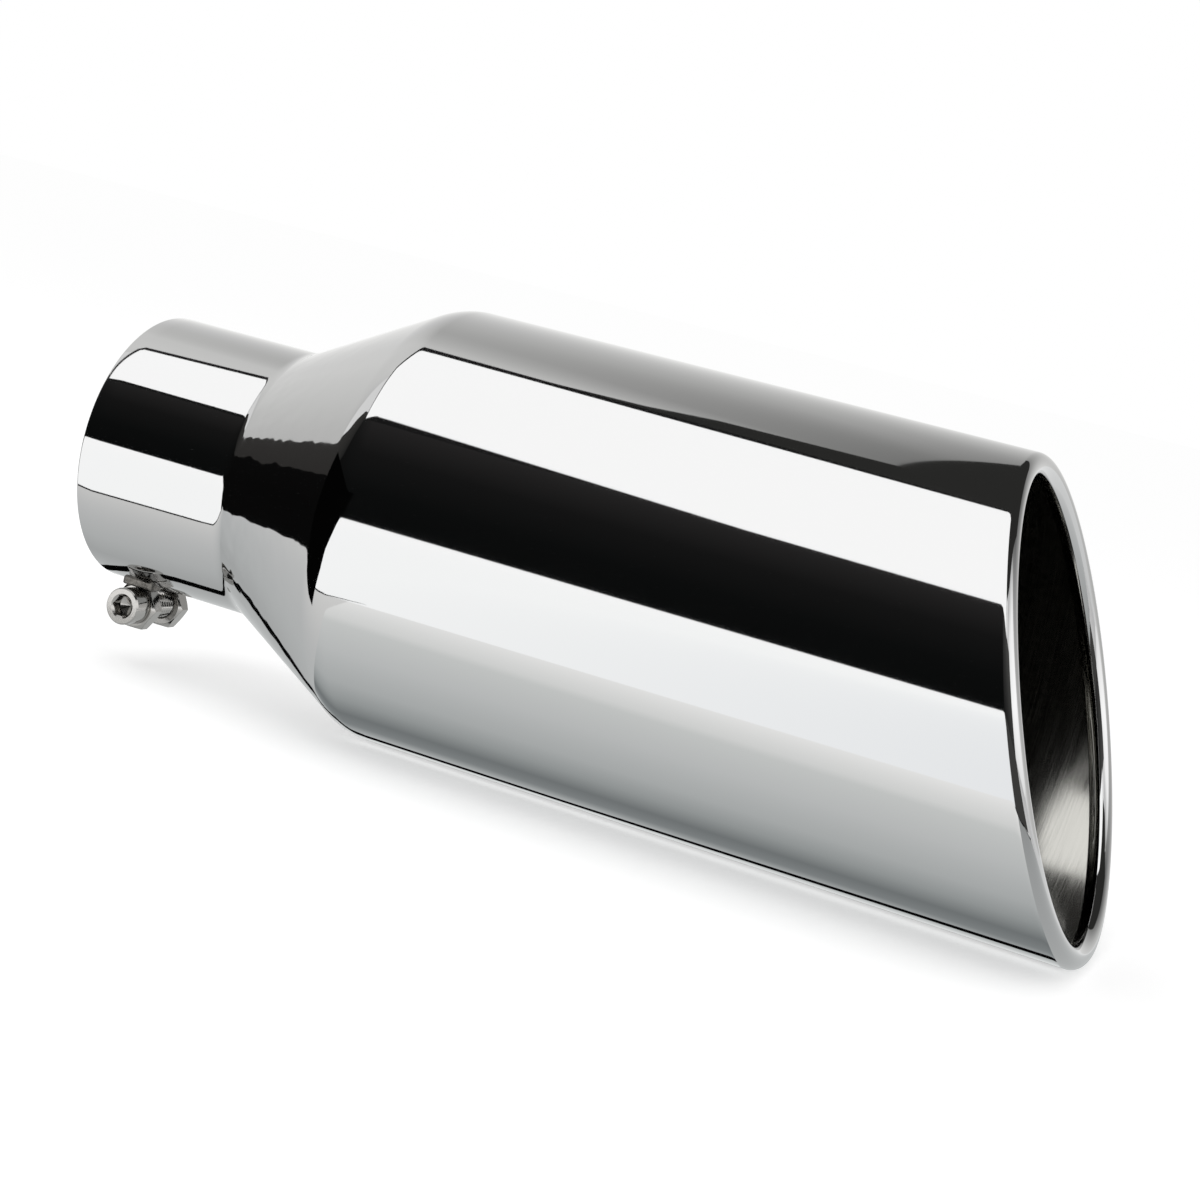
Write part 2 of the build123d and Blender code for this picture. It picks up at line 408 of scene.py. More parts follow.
def near_ends(start, end, nearest, count):
    """Places from start to end that crowd towards both ends, where the first step is nearest."""
    share = np.linspace(0, 1, count)
    crowded = share * share * (3 - 2 * share)
    places = start + (end - start) * crowded
    return np.concatenate([[start, start + nearest], places[1:-1], [end - nearest, end]])


class TIP_OT_shell(bpy.types.Operator):
    """Build the polished sheet: sleeve with its slit, cone, barrel and rolled lip"""

    bl_idname = "exhaust_tip.shell"
    bl_label = "Polished shell"

    def sheet_profile(self, sizes):
        """The sheet's outer side from the inlet to the barrel, as along, radius and the two
        parts of its outward direction: the rounded edge, the sleeve, a hollow bend, the
        cone and a round bend, each tangent to the next.
        """
        sleeve = sizes.sleeve_diameter / MM / 2
        barrel = sizes.barrel_diameter / MM / 2
        sleeve_end = sizes.sleeve_length / MM
        cone_end = sleeve_end + sizes.cone_length / MM
        neck, shoulder = sizes.neck_bend / MM, sizes.shoulder_bend / MM
        # The rows next to a bend stand this near to it, so that it ends cleanly
        beside_bend = 0.6
        edge = sizes.inlet_edge / MM
        slope = atan((barrel - sleeve) / (cone_end - sleeve_end))
        neck_start = sleeve_end - neck * tan(slope / 2)
        shoulder_end = cone_end + shoulder * tan(slope / 2)
        parts = [arc((edge, sleeve - edge), edge, pi, -pi / 2, 6)]
        slit_end = sizes.slit_length / MM
        slit_round = sizes.slit_width / MM / 2
        quarter = np.linspace(0, pi / 2, 12)
        straight = np.concatenate([
            np.linspace(edge, slit_end - slit_round, 8)[1:],
            (slit_end - slit_round + slit_round * np.sin(quarter))[1:],
            near_ends(slit_end, neck_start, beside_bend, 4)[1:-1],
        ])
        ones, zeros = np.ones_like(straight), np.zeros_like(straight)
        parts.append((straight, sleeve * ones, zeros, ones))
        bend = arc((neck_start, sleeve + neck), neck, -pi / 2, slope, 14)
        parts.append((bend[0], bend[1], -bend[2], -bend[3]))
        shoulder_start = cone_end - shoulder * tan(slope / 2) * cos(slope)
        cone_start = neck_start + neck * sin(slope)
        along = near_ends(cone_start, shoulder_start, beside_bend, 8)[1:-1]
        radius = sleeve + (along - sleeve_end) * tan(slope)
        ones = np.ones_like(along)
        parts.append((along, radius, -sin(slope) * ones, cos(slope) * ones))
        parts.append(arc((shoulder_end, barrel - shoulder), shoulder, pi / 2 + slope, -slope, 20))
        return [np.concatenate(group) for group in zip(*parts)], shoulder_end

    def build(self, sizes, finishes):
        """The closed sheet as one grid of rows round the tube.

        A row is at one place of the sheet's profile, and its columns are the angles round
        the tube from the slit. The outer rows go from the inlet to the lip, where the
        sheet turns in a circle about the roll's line, an ellipse in the slanted plane;
        the rows then return on the sheet's other side.
        """
        barrel = sizes.barrel_diameter / MM / 2
        sheet = sizes.sheet / MM
        roll = sizes.roll_diameter / MM / 2
        path = barrel - roll
        slit_half = sizes.slit_width / MM / 2
        slit_end = sizes.slit_length / MM
        lean = tan(sizes.slant)
        roll_centre = sizes.length / MM - roll - path * lean
        sleeve = sizes.sleeve_diameter / MM / 2
        (along, radius, out_along, out_radius), shoulder_end = self.sheet_profile(sizes)
        share = np.linspace(0, 1, sizes.columns + 1)[None, :]

        def angles(places):
            """The columns' angles, squeezed aside where the slit is open."""
            depth = np.clip(places - (slit_end - slit_half), 0, slit_half)
            half = np.where(places < slit_end, np.sqrt(np.maximum(slit_half**2 - depth**2, 0)), 0)
            opening = np.arcsin(half / sleeve)[:, None]
            return opening + share * (2 * pi - 2 * opening)

        def ring(places, radii, turned):
            """Rows of points at those places along the tube, radii and angles."""
            ones = np.ones_like(turned)
            return np.stack([places * ones, radii * np.sin(turned), -radii * np.cos(turned)], axis=2)

        def wall(depth):
            """The rows of the sheet's side at that depth below its outer face."""
            places = along - depth * out_along
            radii = radius - depth * out_radius
            if depth:
                edge_rows = places <= sizes.inlet_edge / MM + sheet
                places = np.where(edge_rows, along, places)
                radii = np.where(edge_rows, sleeve - depth, radii)
            return ring(places[:, None], radii[:, None], angles(along))

        turned = share * 2 * pi
        lip_along = roll_centre + path * np.cos(turned) * lean
        # Rows close to the barrel's two ends keep its shading straight between them
        first_step = 0.003
        support = near_ends(0.0, 1.0, first_step, 8)[1:-1, None]
        barrel_along = shoulder_end + support * (lip_along - shoulder_end)
        outer_barrel = ring(barrel_along, barrel, turned * np.ones_like(support))
        inner_barrel = ring(barrel_along, barrel - sheet, turned * np.ones_like(support))

        # The roll's line and, at each of its points, the outward and the forward direction
        centre = np.stack([lip_along, path * np.sin(turned), -path * np.cos(turned)], axis=2)[0]
        outward = np.stack([0 * turned, np.sin(turned), -np.cos(turned)], axis=2)[0]
        steps = [-path * np.sin(turned) * lean, path * np.cos(turned), path * np.sin(turned)]
        tangent = np.stack(steps, axis=2)[0]
        tangent /= np.linalg.norm(tangent, axis=1)[:, None]
        forward = np.cross(outward, tangent)
        forward *= np.sign(forward[:, :1])

        def curl(size, turns):
            """Rows of points round the roll's line at that radius."""
            turns = turns[:, None, None]
            return centre[None] + size * (np.cos(turns) * outward[None] + np.sin(turns) * forward[None])

        outer_turns = np.linspace(0, sizes.curl_turn, 44)
        inner_turns = np.linspace(sizes.curl_turn, 0, 30)
        # The sheet's free edge is rounded off: its outer corner is cut in one more row
        edge_round = 0.15
        cut_in, cut_on = 0.3, 0.7
        free_edge = [
            curl(roll - edge_round * cut_in, np.array([sizes.curl_turn + edge_round * cut_on / roll])),
            curl(roll - edge_round, np.array([sizes.curl_turn + edge_round / roll])),
            curl(roll - sheet + edge_round, np.array([sizes.curl_turn + edge_round / roll])),
        ]
        outer_wall, inner_wall = wall(0.0), wall(sheet)
        rows = np.concatenate([
            outer_wall,
            outer_barrel,
            curl(roll, outer_turns),
            *free_edge,
            curl(roll - sheet, inner_turns),
            inner_barrel[::-1],
            inner_wall[::-1],
        ])
        index = grid_index(rows)
        quads = grid_quads(index, close_rows=True)
        polished_rows = len(outer_wall) + len(outer_barrel) + len(outer_turns) + len(free_edge)
        row_of_quad = np.repeat(np.arange(rows.shape[0]), sizes.columns)
        finish = (row_of_quad >= polished_rows).astype(int)
        finish[row_of_quad == rows.shape[0] - 1] = 0

        # The slit's walls join the sheet's two faces
        open_rows = int(np.searchsorted(along, slit_end + HAIR))
        outer_index = index[:open_rows]
        inner_index = index[::-1][:open_rows]
        for column in (0, -1):
            strip = np.stack([outer_index[:, column], inner_index[:, column]], axis=1)
            walls = grid_quads(strip)
            quads = np.vstack([quads, walls])
            finish = np.concatenate([finish, np.zeros(len(walls), dtype=int)])
        return make_piece("polished_shell", rows.reshape(-1, 3), quads, finishes, finish)

    def execute(self, context):
        settings = context.scene.exhaust_tip_finishes
        finishes = [polished_stainless(settings.polished), satin_stainless(settings.satin)]
        piece = self.build(context.scene.exhaust_tip_shell, finishes)
        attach(piece, "root")
        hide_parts("tip_shell")
        return {"FINISHED"}


def turned_grid(rows, angle):
    """Rows of points round the screw's axis, which runs along +Y: a row is its places along
    the axis and its radii, one of each for every angle.
    """
    return np.stack([
        np.stack([radius * np.cos(angle), place, radius * np.sin(angle)], axis=1) for place, radius in rows
    ])


def hexagon(width, angle):
    """The distance from the middle of a hexagon to its outline at each angle; flats face up and down."""
    step = pi / 3
    from_flat = (angle - pi / 2 + step / 2) % step - step / 2
    return width / 2 / np.cos(from_flat)


def screw_axis():
    """The screw's axis: its place along the tube and its height, in millimetres."""
    middle = (screw_low + screw_high) / 2 / MM
    return np.array([middle.x, 0.0, middle.z])


class TIP_OT_nuts(bpy.types.Operator):
    """Build the two hexagon nuts on either side of the slit"""

    bl_idname = "exhaust_tip.nuts"
    bl_label = "Welded nuts"

    def nut(self, name, low, high, hole, sizes, finish):
        """A hexagon with turned faces: the side's radius is the hexagon's, and where the two
        30 degree cones cut lower, the face falls away along the cone.
        """
        start, end = low.y / MM, high.y / MM
        angle = np.linspace(0, 2 * pi, 72, endpoint=False)
        outline = hexagon(sizes.nut_width / MM, angle)
        face = sizes.nut_face / MM / 2
        chamfer = sizes.nut_chamfer / MM
        ones = np.ones_like(angle)
        fall = np.maximum(outline - face, 0) * tan(pi / 6)
        rows = [
            (start + chamfer * ones, hole * ones),
            (start * ones, (hole + chamfer) * ones),
            (start * ones, face * ones),
            (start + fall, outline),
            (end - fall, outline),
            (end * ones, face * ones),
            (end * ones, (hole + chamfer) * ones),
            (end - chamfer * ones, hole * ones),
        ]
        points = turned_grid(rows, angle)
        quads = grid_quads(grid_index(points), close_rows=True, close_columns=True)
        points = points.reshape(-1, 3) + screw_axis()
        return make_piece(name, points, quads, [finish], edge_break=sizes.edge_break, sharp=radians(20))

    def execute(self, context):
        sizes = context.scene.exhaust_tip_clamp
        finish = fastener_finish(context)
        pieces = (
            ("head_side_hex_nut", "head_side_nut", near_nut_low, near_nut_high, sizes.nut_hole / MM / 2),
            ("tapped_hex_nut", "tapped_nut", far_nut_low, far_nut_high, sizes.thread_diameter / MM / 2),
        )
        for name, node, low, high, hole in pieces:
            piece = self.nut(name, low, high, hole, sizes, finish)
            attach(piece, "root")
            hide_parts(node)
        return {"FINISHED"}


class TIP_OT_screw(bpy.types.Operator):
    """Build the socket head screw with its thread"""

    bl_idname = "exhaust_tip.screw"
    bl_label = "Clamp screw"

    # Small forms, in millimetres: the ring round each pole, the chamfer under the head, the
    # taper at the thread's end and what is left free before its last row
    tip, foot, end_taper, last_gap = 0.02, 0.25, 0.9, 0.01
    # The drill's width as a share of the socket's, and the thread's depth as one of its pitch
    drill_share, depth_share = 0.967, 0.61
    # The thread's wave: how steep its flanks are and how much of it is flat crest
    flank, crest_flat, rows_per_turn = 1.25, 0.12, 10

    def build(self, sizes, finish):
        """One grid of rows from the socket's bottom out over the head and down the thread.

        The thread's radius follows a triangle wave of the turns: the place along the axis
        over the pitch, less the angle over a full turn.
        """
        angle = np.linspace(0, 2 * pi, 96, endpoint=False)
        ones = np.ones_like(angle)
        front = screw_low.y / MM
        seat = front + sizes.head_height / MM
        end = screw_high.y / MM
        head = sizes.head_diameter / MM / 2
        edge = sizes.head_edge / MM
        width = sizes.socket_width / MM
        floor = front + sizes.socket_depth / MM
        flats = hexagon(width, angle)
        # The socket was drilled a little narrower than its flats before it was broached
        drilled = width / 2 * self.drill_share
        mouth = width / sqrt(3) + sizes.socket_lead / MM
        rows = [
            (floor + drilled / tan(pi / 3) * ones, self.tip * ones),
            (floor * ones, drilled * ones),
            (floor * ones, flats),
            (front + (mouth - flats), flats),
            (front * ones, mouth * ones),
        ]
        rows += [(front * ones, (head - edge) * ones), ((front + edge) * ones, head * ones)]
        rows += [((seat - self.foot) * ones, head * ones), (seat * ones, (head - self.foot) * ones)]
        crest = sizes.thread_diameter / MM / 2
        pitch = sizes.thread_pitch / MM
        depth = self.depth_share * pitch
        rows.append((seat * ones, (crest - depth) * ones))
        places = np.arange(seat, end - self.last_gap, pitch / self.rows_per_turn)
        for place in places:
            turns = (place / pitch - angle / (2 * pi)) % 1.0
            wave = np.clip(2 * np.abs(turns - 0.5) * self.flank - self.crest_flat, 0, 1)
            taper = np.clip((place - (end - self.end_taper)) / self.end_taper, 0, 1) * depth
            rows.append((place * ones, crest - np.maximum(depth * wave, taper)))
        rows.append((end * ones, (crest - depth) * ones))
        rows.append((end * ones, self.tip * ones))
        points = turned_grid(rows, angle)
        index = grid_index(points)
        quads = grid_quads(index, close_columns=True)
        tips = np.array([[0.0, rows[0][0][0], 0.0], [0.0, end, 0.0]])
        points = np.vstack([points.reshape(-1, 3), tips]) + screw_axis()
        caps = []
        for row, tip in ((index[0], len(points) - 2), (index[-1], len(points) - 1)):
            tip_row = np.full_like(row, tip)
            caps.append(np.stack([row, np.roll(row, -1), tip_row, tip_row], axis=1))
        faces = np.vstack([quads, *caps])
        return make_piece("socket_head_screw", points, faces, [finish], sharp=radians(28))

    def execute(self, context):
        piece = self.build(context.scene.exhaust_tip_clamp, fastener_finish(context))
        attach(piece, "root")
        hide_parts("clamp_screw")
        return {"FINISHED"}


class TIP_OT_welds(bpy.types.Operator):
    """Give the two weld beads their finish"""

    bl_idname = "exhaust_tip.welds"
    bl_label = "Weld beads"

    def execute(self, context):
        settings = context.scene.exhaust_tip_finishes
        finish = weld_metal(settings.weld, settings.oxide)
        for name in ("head_side_weld", "tapped_weld"):
            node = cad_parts[name]
            node.data.materials.clear()
            node.data.materials.append(finish)
        return {"FINISHED"}


def interpolate(wanted, places, values):
    """Straight-line values at the wanted places, along the first axis of the values."""
    after = np.clip(np.searchsorted(places, wanted), 1, len(places) - 1)
    share = (wanted - places[after - 1]) / (places[after] - places[after - 1])
    share = share.reshape(-1, *[1] * (values.ndim - 1))
    return values[after - 1] * (1 - share) + values[after] * share


class TIP_OT_stage(bpy.types.Operator):
    """Set up the white studio: room light, floor, screens, softbox, sheets and camera"""

    bl_idname = "exhaust_tip.stage"
    bl_label = "Studio"

    # The share that the polished steel shows of what it mirrors; a card shines by as much more
    mirror_share = 0.62
    mirror_gain = 1 / mirror_share

    # Screens far off, each a band of the sky as the tube sees it, in columns: azimuth, lowest
    # and highest elevation in degrees, where azimuth 0 is +X, 90 is -Y and 180 is -X, and the
    # tones from its foot to its top.
    screens = {
        "front_screen": (
            (97, -2, 46, ("#090a0a", "#0c0d0d", "#141414", "#242323")),
            (140, -2, 46, ("#090a0a", "#0c0d0d", "#141414", "#242323")),
            (150, -2, 41, ("#090a0a", "#0c0c0c", "#121212", "#1c1c1c")),
            (160, -2, 37, ("#090a0a", "#0a0a0a", "#0e0e0e", "#181818")),
            (170, -2, 23, ("#080808", "#0a0a0a", "#0c0c0c", "#101010")),
            (177, -2, 18, ("#080808", "#090909", "#0a0a0a", "#0c0c0c")),
            (181, -2, 9, ("#080808", "#080808", "#080808", "#080808")),
        ),
        "charcoal_screen": (
            (152, 20, 40, ("#1c1c1c", "#2c2b2a")),
            (160, 11, 36, ("#242423", "#302f2e")),
            (170, 7, 22.5, ("#2a2928", "#302f2e")),
            (177, 6, 17.5, ("#2c2b2a", "#302f2e")),
            (181, 4, 12, ("#2c2b2a", "#302f2e")),
        ),
        "camera_side_screen": (
            (44, -2, 36, ("#2c2c2c", "#3a3a39", "#444443")),
            (60, -2, 40, ("#2c2c2c", "#3a3a39", "#454544")),
            (97, -2, 46, ("#1c1c1c", "#262626", "#303030")),
        ),
        "right_light": (
            (-40, 22, 30, ("#c8c8c8", "#c0c0c0", "#a0a0a0", "#808080")),
            (-25, 12, 50, ("#d8d8d8", "#f0f0f0", "#c8c8c8", "#8c8c8c")),
            (-10, 4, 60, ("#dcdcdc", "#f8f8f8", "#e4e4e4", "#909090")),
            (5, -1, 64, ("#dcdcdc", "#fafafa", "#f0f0f0", "#909090")),
            (38, -1, 60, ("#dcdcdc", "#f6f6f6", "#e8e8e8", "#8c8c8c")),
            (44, 3, 50, ("#c8c8c8", "#d8d8d8", "#b8b8b8", "#808080")),
        ),
        "back_wall": (
            (177, 17, 84, ("#b2b2b1", "#b4b4b3", "#bababa", "#c2c2c1", "#c6c6c5", "#c6c6c5", "#c4c4c3")),
            (181, 12, 84, ("#b2b2b1", "#b4b4b3", "#bababa", "#c2c2c1", "#c6c6c5", "#c6c6c5", "#c4c4c3")),
            (186, 8, 84, ("#b4b4b3", "#b8b8b7", "#bebebd", "#c4c4c3", "#c6c6c5", "#c6c6c5", "#c2c2c1")),
            (210, 0, 84, ("#c4c4c3", "#c6c6c5", "#c4c4c3", "#c2c2c1", "#bebebd", "#b0b0af", "#a8a8a7")),
            (228, 0, 84, ("#cfcfce", "#c8c8c7", "#bababa", "#acacab", "#969695", "#747473", "#484848")),
            (250, 0, 84, ("#cfcfce", "#c4c4c3", "#b0b0af", "#9a9a99", "#747473", "#484848", "#303030")),
            (262, 0, 84, ("#c4c4c3", "#b0b0af", "#989897", "#686867", "#404040", "#303030", "#2c2c2c")),
            (300, -1, 84, ("#b0b0af", "#a0a09f", "#7c7c7b", "#4c4c4c", "#383838", "#303030", "#2c2c2c")),
            (325, -1, 80, ("#b4b4b3", "#a8a8a7", "#909090", "#707070", "#4c4c4c", "#383838", "#303030")),
            (345, -1, 74, ("#c0c0bf", "#c4c4c3", "#b4b4b3", "#a0a09f", "#888887", "#5c5c5c", "#3c3c3c")),
        ),
    }

    # Cards under the ceiling, in metres from the inlet's centre
    softbox_outline = (
        (-0.98, -0.68),
        (-0.5, -0.745),
        (-0.2, -0.93),
        (0.0, -0.98),
        (0.75, -1.15),
        (0.22, 0.03),
        (0.09, 0.06),
        (-0.36, 0.16),
        (-0.5, 0.065),
        (-0.64, -0.015),
    )
    frame_outline = (
        (-1.02, -0.705),
        (0.78, -1.18),
        (0.23, 0.05),
        (0.09, 0.078),
        (-0.375, 0.215),
        (-0.52, 0.115),
        (-0.668, 0.02),
    )
    dark_ceiling_outline = (
        (-0.366, 0.16),
        (0.0, -0.3),
        (0.62, -0.65),
        (0.82, -0.3),
        (0.86, 0.17),
        (1.1, 0.75),
        (0.6, 1.45),
        (-0.02, 1.35),
        (-0.02, 0.28),
        (-0.15, 0.26),
        (-0.2, 0.2),
    )

    # Sheets on the floor, in metres from the inlet's centre
    white_sheet_outline = (
        (-0.11, -0.088),
        (0.0, -0.092),
        (0.06, -0.113),
        (0.285, -0.118),
        (-0.95, -8.5),
        (-7.4, -8.5),
        (-0.33, -0.25),
    )
    white_sheet_tones = ((-0.6, "#f6f6f6"), (0.05, "#f3f4f4"), (0.285, "#e4e6e8"))
    black_sheet_outline = (
        (-0.155, -0.03),
        (-0.155, -0.078),
        (-0.062, -0.087),
        (-5.9, -8.5),
        (-8.5, -8.5),
        (-8.5, -0.1),
    )
    charcoal_sheet_outline = (
        (0.288, -0.118),
        (0.362, -0.114),
        (0.43, -0.09),
        (6.0, -5.15),
        (6.0, -8.5),
        (-0.94, -8.5),
    )
    end_sheet_outline = (
        (0.3, -0.116),
        (0.362, -0.112),
        (0.474, -0.06),
        (0.52, 0.06),
        (0.42, 0.18),
        (0.3, 0.18),
    )
    end_sheet_tones = ((-0.116, "#8c8e8e"), (0.0, "#a4a6a6"), (0.18, "#c0c1c1"))
    far_sheet_outline = (
        (0.3, 0.18),
        (0.42, 0.18),
        (0.52, 0.06),
        (8.5, -0.5),
        (8.5, 8.5),
        (-2.0, 8.5),
    )
    barrel_floor_painted_shade_outline = (
        (0.07, -0.118),
        (0.4, -0.118),
        (0.48, -0.06),
        (0.48, -0.011),
        (0.07, -0.011),
    )
    # Painted shade: darker towards the object for its shadow on the floor as the steel mirrors it, lighter
    # again just under it
    barrel_floor_painted_shade_tones = (
        (-0.118, "#e2e2e1"),
        (-0.092, "#cecfce"),
        (-0.086, "#c1c3c2"),
        (-0.065, "#b6b8b8"),
        (-0.047, "#a5a8a8"),
        (-0.038, "#8f9393"),
        (-0.03, "#6b6f70"),
        (-0.024, "#75797a"),
        (-0.018, "#9fa2a2"),
        (-0.011, "#c4c6c6"),
    )
    sleeve_floor_painted_shade_outline = (
        (-0.155, -0.078),
        (-0.062, -0.087),
        (0.07, -0.118),
        (0.07, 0.06),
        (-0.08, 0.06),
        (-0.155, -0.03),
    )
    # Painted shade: darker towards the object for its shadow on the floor as the steel mirrors it
    sleeve_floor_painted_shade_tones = (
        (-0.118, "#cccccb"),
        (-0.085, "#c2c2c1"),
        (-0.055, "#b4b5b5"),
        (-0.03, "#a9abab"),
        (-0.012, "#9c9e9e"),
        (0.06, "#b0b2b2"),
    )

    # Narrow black lines on the sheets: along and across in metres, and half their width in mm.
    # The first is painted shade: the object's contact shadow on the floor, as the steel mirrors it.
    painted_contact_shadow_line = (
        (-0.06, 0.06, 6.0),
        (-0.036, 0.034, 6.0),
        (-0.022, 0.015, 5.0),
        (-0.008, 0.0, 4.0),
        (0.01, -0.006, 3.5),
        (0.06, -0.008, 3.0),
        (0.074, -0.014, 2.0),
        (0.086, -0.0205, 1.7),
        (0.097, -0.0175, 1.4),
        (0.16, -0.0175, 1.3),
        (0.3, -0.0205, 1.3),
    )
    board_front = (
        (-0.155, -0.0785, 1.6),
        (-0.062, -0.087, 1.6),
        (0.0, -0.092, 1.6),
        (0.05, -0.11, 1.2),
        (0.075, -0.116, 0.2),
    )
    board_corner = (
        (0.283, -0.1175, 0.5),
        (0.29, -0.1165, 1.5),
        (0.362, -0.1125, 2.0),
        (0.474, -0.06, 3.0),
    )

    # A small black flag, pointed at its foot, that stands close to the shoulder: across and up
    flag_place = 0.055
    flag_outline = (
        (-0.074, -0.051),
        (-0.085, -0.043),
        (-0.098, -0.034),
        (-0.108, -0.022),
        (-0.125, -0.012),
        (-0.15, 0.004),
        (-0.15, 0.03),
        (-0.066, 0.03),
        (-0.066, -0.026),
        (-0.069, -0.04),
    )

    def glow(self, name, level):
        """A plain emitter of that brightness, where 1 is white."""
        material, tree, output = new_material(name)
        shader = add_node(tree, "ShaderNodeEmission", color=(1.0, 1.0, 1.0, 1.0), strength=level)
        tree.links.new(shader.outputs[0], output.inputs["Surface"])
        return material

    def end_in_tone(self, material, tree, output, colour):
        """Ends a material in a colour given as it shows in the steel. Such a card is met by
        reflections alone, so it isn't sampled as a lamp, which keeps the render quick.
        """
        shader = add_node(tree, "ShaderNodeEmission", color=colour, strength=self.mirror_gain)
        tree.links.new(shader.outputs[0], output.inputs["Surface"])
        material.cycles.emission_sampling = "NONE"
        return material

    def toned(self, name, axis, tones):
        """A card's material whose tone changes along one axis."""
        material, tree, output = new_material(name)
        place = add_node(tree, "ShaderNodeTexCoord").outputs["Object"]
        along = add_node(tree, "ShaderNodeSeparateXYZ", vector=place).outputs[axis]
        start, end = tones[0][0], tones[-1][0]
        share = add_node(tree, "ShaderNodeMapRange", value=along, from_min=start, from_max=end)
        ramp = add_node(tree, "ShaderNodeValToRGB", fac=share.outputs[0])
        set_stops(ramp, [((at - start) / (end - start), colour) for at, colour in tones])
        return self.end_in_tone(material, tree, output, ramp.outputs[0])

    def plain_tone(self, name, colour):
        """A card's material in one tone."""
        return self.end_in_tone(*new_material(name), (*linear(colour), 1.0))

    def card(self, name, points, finish, columns=0):
        """A flat card with that outline or, with a number of columns, a bent one in rows."""
        faces = [tuple(range(len(points)))]
        if columns:
            faces = grid_quads(np.arange(len(points)).reshape(-1, columns)).tolist()
        mesh = bpy.data.meshes.new(name)
        mesh.from_pydata([tuple(point) for point in points], [], faces)
        mesh.materials.append(finish)
        card = bpy.data.objects.new(name, mesh)
        bpy.context.scene.collection.objects.link(card)
        return card

    def only_mirrored(self, card):
        """Shows a card in the metal's reflections alone."""
        card.visible_camera = False
        card.visible_diffuse = False
        card.visible_shadow = False

    def make_screens(self, studio):
        """The screens round the object, each a little nearer than the one before; each point
        of a screen carries its own tone as an attribute.
        """
        finish, tree, output = new_material("toned_screens")
        tone = add_node(tree, "ShaderNodeAttribute", {"attribute_name": "tone"})
        self.end_in_tone(finish, tree, output, tone.outputs["Color"])
        middle = np.array([shell_high.x / 2, 0.0, 0.0])
        rows, columns = 25, 80
        nearer_by = 0.02
        for place, (name, stands) in enumerate(self.screens.items()):
            distance = studio.screen_distance * (1 - nearer_by * place)
            azimuth, low, high = (np.array([stand[item] for stand in stands]) for item in range(3))
            tones = np.array([[linear(tone) for tone in stand[3]] for stand in stands])
            turn = np.linspace(azimuth[0], azimuth[-1], columns)
            share = np.linspace(0, 1, rows)
            by_row = interpolate(share, np.linspace(0, 1, tones.shape[1]), tones.swapaxes(0, 1))
            by_column = interpolate(turn, azimuth, by_row.swapaxes(0, 1)).swapaxes(0, 1)
            low, high = np.interp(turn, azimuth, low), np.interp(turn, azimuth, high)
            up = np.radians(low + share[:, None] * (high - low))
            turn = np.radians(turn) * np.ones_like(up)
            away = np.stack([np.cos(up) * np.cos(turn), -np.cos(up) * np.sin(turn), np.sin(up)], axis=2)
            points = (middle + distance * away).reshape(-1, 3)
            screen = self.card(name, points, finish, columns)
            attribute = screen.data.color_attributes.new(name="tone", type="FLOAT_COLOR", domain="POINT")
            opaque = np.concatenate([by_column, np.ones((rows, columns, 1))], axis=2)
            attribute.data.foreach_set("color", opaque.ravel())
            self.only_mirrored(screen)

    def make_ceiling(self, studio):
        """The large softbox, its dark frame and the dark part of the ceiling behind it."""

        def hang(name, outline, above, finish):
            """A level card under the ceiling, so far above the softbox."""
            return self.card(name, [(x, y, studio.ceiling_height + above) for x, y in outline], finish)

        light = self.glow("softbox_light", studio.softbox_level)
        hang("softbox", self.softbox_outline, 0.0, light).visible_camera = False
        black = self.plain_tone("softbox_frame", "#141414")
        self.only_mirrored(hang("softbox_frame", self.frame_outline, 2 * MM, black))
        dark = self.plain_tone("dark_ceiling", "#272726")
        self.only_mirrored(hang("dark_ceiling", self.dark_ceiling_outline, 4 * MM, dark))

    def make_sheets(self):
        """The sheets on the floor: white in front, dark to both sides and grey under the object,
        where the grey is painted shade, darker towards the object for its shadow on the floor,
        with the black lines on top, the first of them a painted contact shadow, and the flag
        beside the shoulder.
        """
        floor = cad_box[0].z

        def lay(name, outline, lift, tones, axis=None):
            """A sheet so many millimetres above the floor, in one tone or toned along an axis."""
            finish = self.toned(name, axis, tones) if axis else self.plain_tone(name, tones)
            self.only_mirrored(self.card(name, [(x, y, floor + lift * MM) for x, y in outline], finish))

        def line(name, course, lift):
            """A black line of changing width, as two rows of points along its course."""
            along, across, half = np.array(course).T
            edges = [(across + side * half * MM) for side in (-1, 1)]
            heights = np.full(len(along), floor + lift * MM)
            points = np.concatenate([np.stack([along, edge, heights], axis=1) for edge in edges])
            self.only_mirrored(self.card(name, points, line_finish, columns=len(along)))

        # This black also paints the object's contact shadow on the floor, as the steel mirrors it
        line_finish = self.plain_tone("black_flag_lines_and_painted_shadow", "#030303")
        # Painted shade: these two grey cards darken towards the object for its shadow on the floor
        lay("barrel_floor_painted_shade", self.barrel_floor_painted_shade_outline, 0.1, self.barrel_floor_painted_shade_tones, "Y")
        lay("sleeve_floor_painted_shade", self.sleeve_floor_painted_shade_outline, 0.1, self.sleeve_floor_painted_shade_tones, "Y")
        lay("end_sheet", self.end_sheet_outline, 0.15, self.end_sheet_tones, "Y")
        lay("far_sheet", self.far_sheet_outline, 0.1, "#c4c5c5")
        lay("black_sheet", self.black_sheet_outline, 0.2, "#080808")
        lay("charcoal_sheet", self.charcoal_sheet_outline, 0.2, "#3a3a39")
        lay("white_sheet", self.white_sheet_outline, 0.4, self.white_sheet_tones, "X")
        # Painted shade: the object's contact shadow on the floor
        line("painted_contact_shadow_line", self.painted_contact_shadow_line, 0.6)
        line("board_front", self.board_front, 0.6)
        line("board_corner", self.board_corner, 0.6)
        flag = [(self.flag_place, across, up) for across, up in self.flag_outline]
        self.only_mirrored(self.card("black_flag", flag, line_finish))

